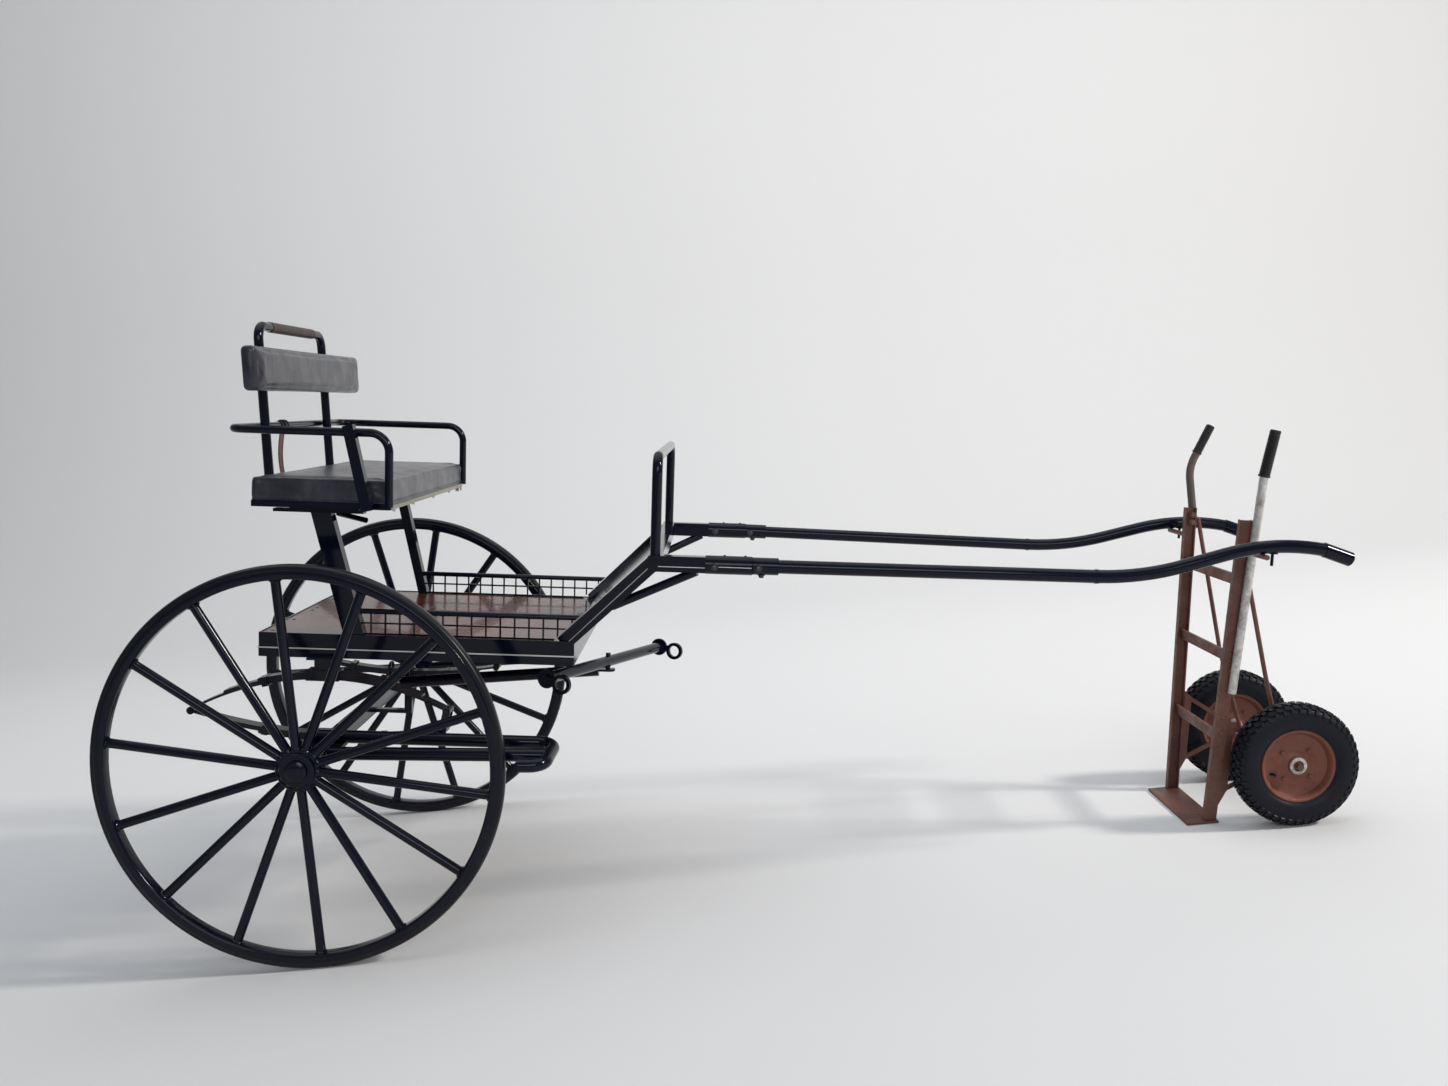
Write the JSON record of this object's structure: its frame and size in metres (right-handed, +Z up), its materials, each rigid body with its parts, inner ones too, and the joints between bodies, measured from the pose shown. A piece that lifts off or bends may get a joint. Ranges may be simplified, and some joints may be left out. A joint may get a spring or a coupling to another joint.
{
  "type": "horse drawn carriage",
  "caption": "Two-wheeled black steel horse cart with a bench seat, spoked wheels and leaf springs, its shafts resting on a sack truck.",
  "frame": {"origin": "centre of the overall box's floor side, on the ground", "axes": "+X forward to the horse, +Y to the cart's left, +Z up"},
  "size_m": [3.7224, 1.425, 1.8445],
  "materials": {
    "black_paint": "gloss",
    "wheel_rubber": "matte",
    "seat_vinyl": "satin",
    "grip_leather": "satin",
    "varnished_wood": "gloss",
    "spring_steel": "satin",
    "zinc_steel": "satin",
    "stand_paint": "satin",
    "stand_rubber": "matte",
    "grip_plastic": "matte"
  },
  "bodies": {
    "cart": {"axle": "black_paint", "platform_frame": "black_paint", "floor_boards": "varnished_wood", "dash_frame": "black_paint", "dash_sheet": "black_paint", "drawbar": "black_paint", "step": "black_paint", "seat_posts": "black_paint", "seat_rails": "black_paint", "seat_lever": "black_paint", "spring_right": "spring_steel", "mesh_right": "black_paint", "shaft_socket_right": "black_paint", "shaft_right": "black_paint", "shaft_tip_right": "black_paint", "spring_left": "spring_steel", "mesh_left": "black_paint", "shaft_socket_left": "black_paint", "shaft_left": "black_paint", "shaft_tip_left": "black_paint", "stand_rails": "stand_paint", "stand_bars": "stand_paint", "stand_nose": "stand_paint", "stand_axle": "stand_paint", "stand_handle_right": "zinc_steel", "stand_grip_right": "grip_plastic", "stand_handle_left": "stand_paint", "stand_grip_left": "grip_plastic"},
    "seat": {"seat_runners": "black_paint", "seat_base": "black_paint", "seat_cushion": "seat_vinyl", "backrest_frame": "black_paint", "backrest_pad": "seat_vinyl", "handle_grip": "grip_leather", "armrest": "black_paint", "whip_holder": "black_paint"},
    "wheel_right": {"tyre_right": "wheel_rubber", "rim_right": "black_paint", "spokes_right": "black_paint", "hub_right": "black_paint"},
    "stand_wheel_right": {"stand_tyre_right": "stand_rubber", "stand_rim_right": "stand_paint"},
    "wheel_left": {"tyre_left": "wheel_rubber", "rim_left": "black_paint", "spokes_left": "black_paint", "hub_left": "black_paint"},
    "stand_wheel_left": {"stand_tyre_left": "stand_rubber", "stand_rim_left": "stand_paint"},
    "singletree": {"singletree": "black_paint", "trace_eyes": "black_paint"}
  },
  "joints": [
    {"name": "seat_slide", "type": "slide", "parent": "cart", "child": "seat", "axis": [0.9925, 0, -0.1219], "range_m": [-0.08, 0.06]},
    {"name": "wheel_right_spin", "type": "hinge", "parent": "cart", "child": "wheel_right", "pos_m": [-1.28616, -0.678, 0.575], "axis": [0, 1, 0], "continuous": true},
    {"name": "wheel_left_spin", "type": "hinge", "parent": "cart", "child": "wheel_left", "pos_m": [-1.28616, 0.678, 0.575], "axis": [0, 1, 0], "continuous": true},
    {"name": "singletree_swing", "type": "hinge", "parent": "cart", "child": "singletree", "pos_m": [-0.47418, 0.00156, 0.66467], "axis": [0.1217, 0.0558, 0.991], "range_deg": [-8, 40]},
    {"name": "stand_wheel_right_spin", "type": "hinge", "parent": "cart", "child": "stand_wheel_right", "pos_m": [1.66616, -0.242, 0.195], "axis": [0, 1, 0], "continuous": true},
    {"name": "stand_wheel_left_spin", "type": "hinge", "parent": "cart", "child": "stand_wheel_left", "pos_m": [1.66616, 0.242, 0.195], "axis": [0, 1, 0], "continuous": true}
  ]
}
